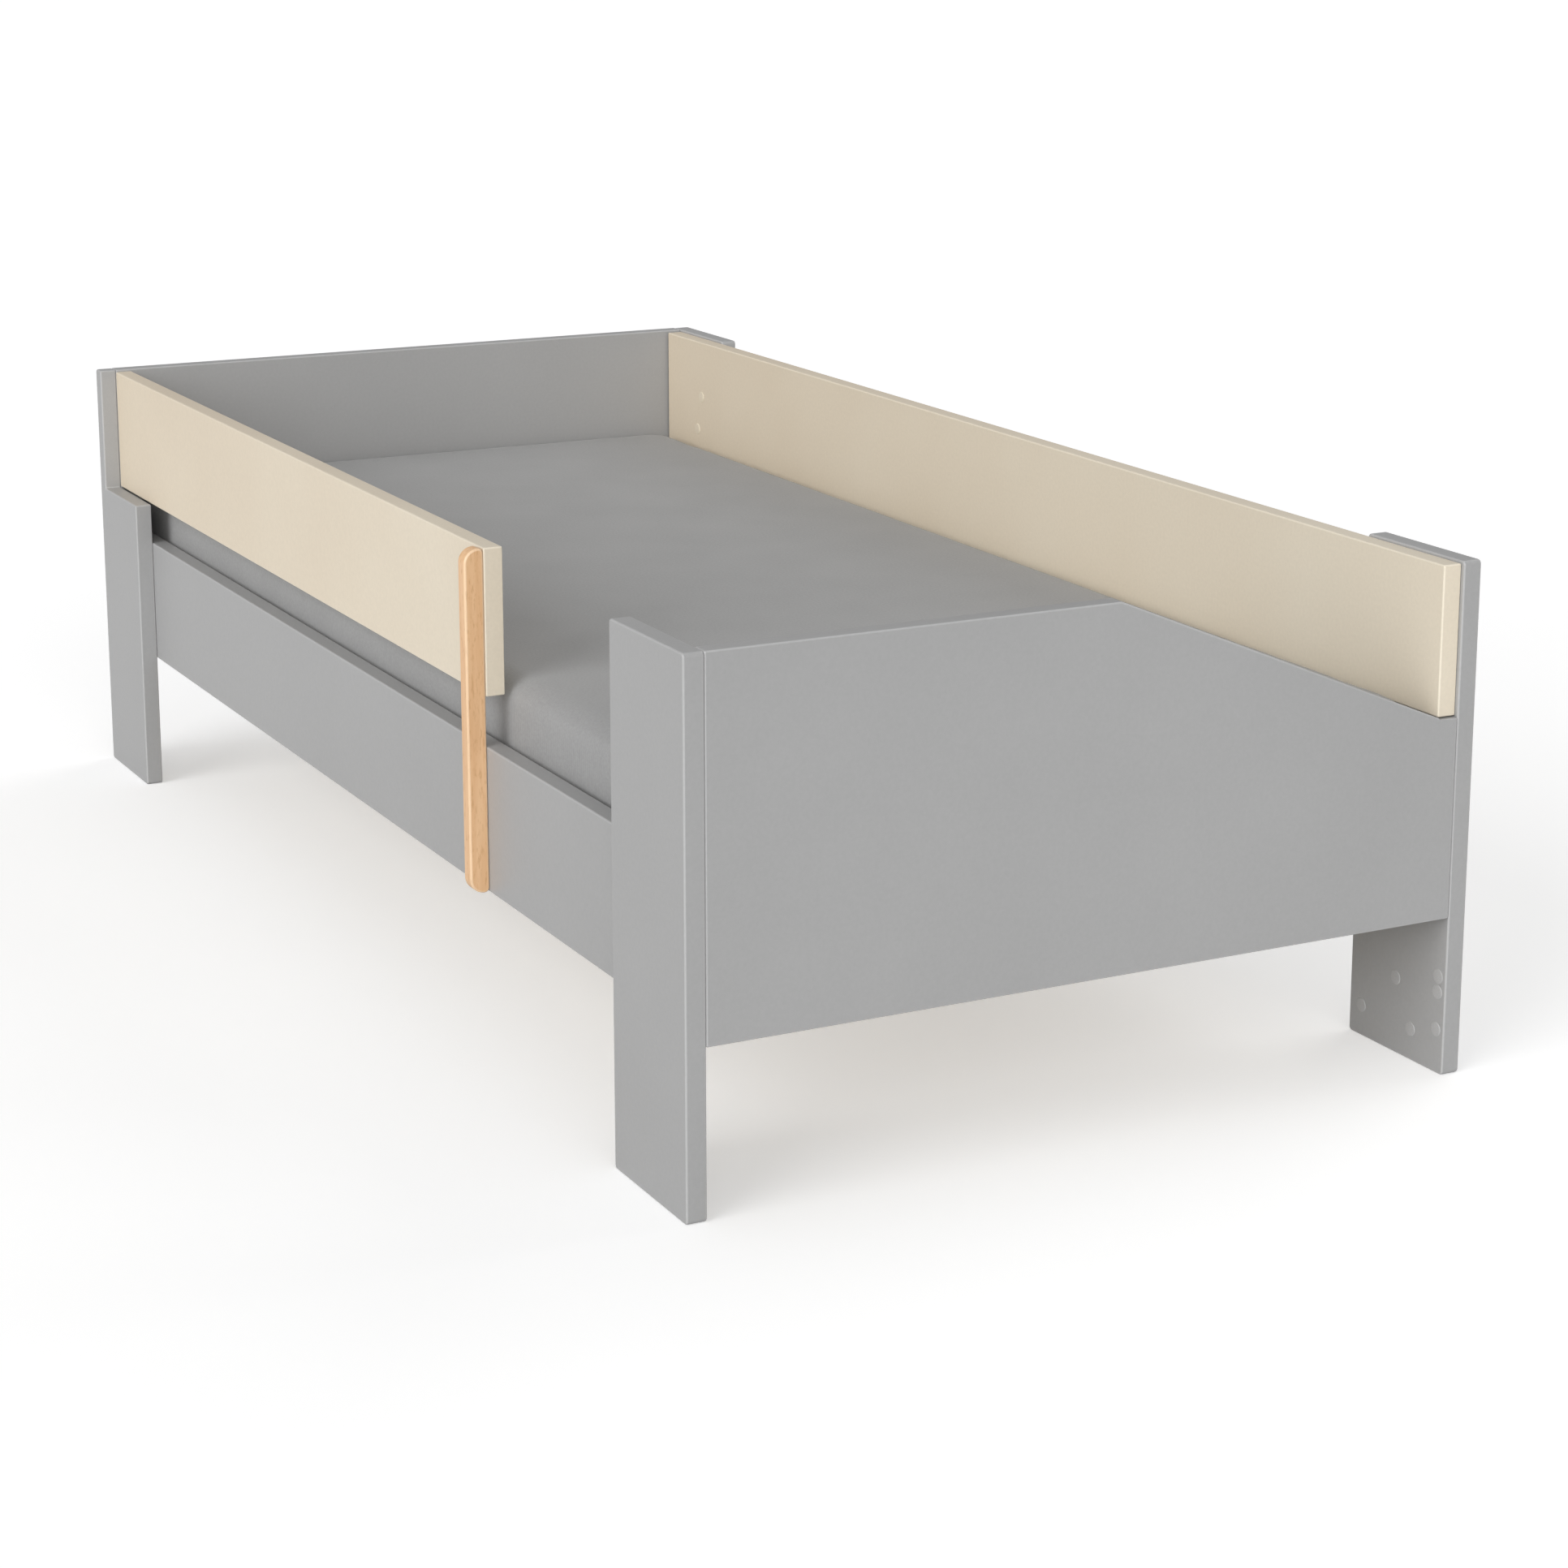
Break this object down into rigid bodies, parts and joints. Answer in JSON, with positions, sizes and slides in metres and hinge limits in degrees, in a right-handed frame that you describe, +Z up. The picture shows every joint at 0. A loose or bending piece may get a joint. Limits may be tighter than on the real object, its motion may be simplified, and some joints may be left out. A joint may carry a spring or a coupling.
{
  "type": "toddler bed",
  "caption": "Low child's bed with plank legs, board ends and sides, a full-length and a half-length guard rail, a beech rail support strip, slatted base and sheeted mattress.",
  "frame": {"origin": "on the floor, in the middle of the rectangle that the four legs stand on", "axes": "+X along the bed from head to foot, +Z up, -Y is the open side with the short guard rail"},
  "size_m": [1.648, 0.79, 0.485],
  "materials": {
    "grey_lacquer": "satin lacquered MDF",
    "cream_lacquer": "satin lacquered MDF",
    "beech": "clear satin lacquer",
    "pine": "planed",
    "birch": "planed, unfinished",
    "webbing": "woven cotton tape",
    "foam": "open-cell foam",
    "ticking": "quilted cotton ticking",
    "jersey": "cotton jersey",
    "zinc": "zinc plated",
    "insert_brass": "turned",
    "cam_zinc": "die cast",
    "grey_cap": "moulded",
    "cream_cap": "moulded"
  },
  "bodies": {
    "frame": {"leg_head_front": "grey_lacquer", "leg_head_rear": "grey_lacquer", "leg_foot_front": "grey_lacquer", "leg_foot_rear": "grey_lacquer", "head_panel": "grey_lacquer", "foot_panel": "grey_lacquer", "side_panel_front": "grey_lacquer", "side_panel_rear": "grey_lacquer", "guard_rail_front": "cream_lacquer", "guard_rail_rear": "cream_lacquer", "rail_support_strip": "beech", "ledger_front": "pine", "ledger_rear": "pine", "side_bolts": "zinc", "rail_bolts_m6": "zinc", "rail_screws": "zinc", "strip_screws": "zinc", "ledger_screws": "zinc", "leg_inserts": "insert_brass", "cam_locks": "cam_zinc", "cam_studs": "zinc", "end_dowels": "beech", "side_caps": "grey_cap", "spare_hole_plugs": "grey_cap", "rail_caps": "cream_cap"},
    "slat_base": {"slat_01": "birch", "slat_02": "birch", "slat_03": "birch", "slat_04": "birch", "slat_05": "birch", "slat_06": "birch", "slat_07": "birch", "slat_08": "birch", "slat_09": "birch", "slat_10": "birch", "slat_11": "birch", "slat_12": "birch", "slat_13": "birch", "slat_14": "birch", "slat_tapes": "webbing"},
    "mattress": {"mattress_core": "foam", "cover_top": "ticking", "cover_base": "ticking", "fitted_sheet": "jersey"}
  },
  "joints": [
    {"name": "slat_base_lift", "type": "slide", "parent": "frame", "child": "slat_base", "axis": [0, 0, 1], "range_m": [0, 0.12]},
    {"name": "mattress_lift", "type": "slide", "parent": "slat_base", "child": "mattress", "axis": [0, 0, 1], "range_m": [0, 0.25]}
  ]
}
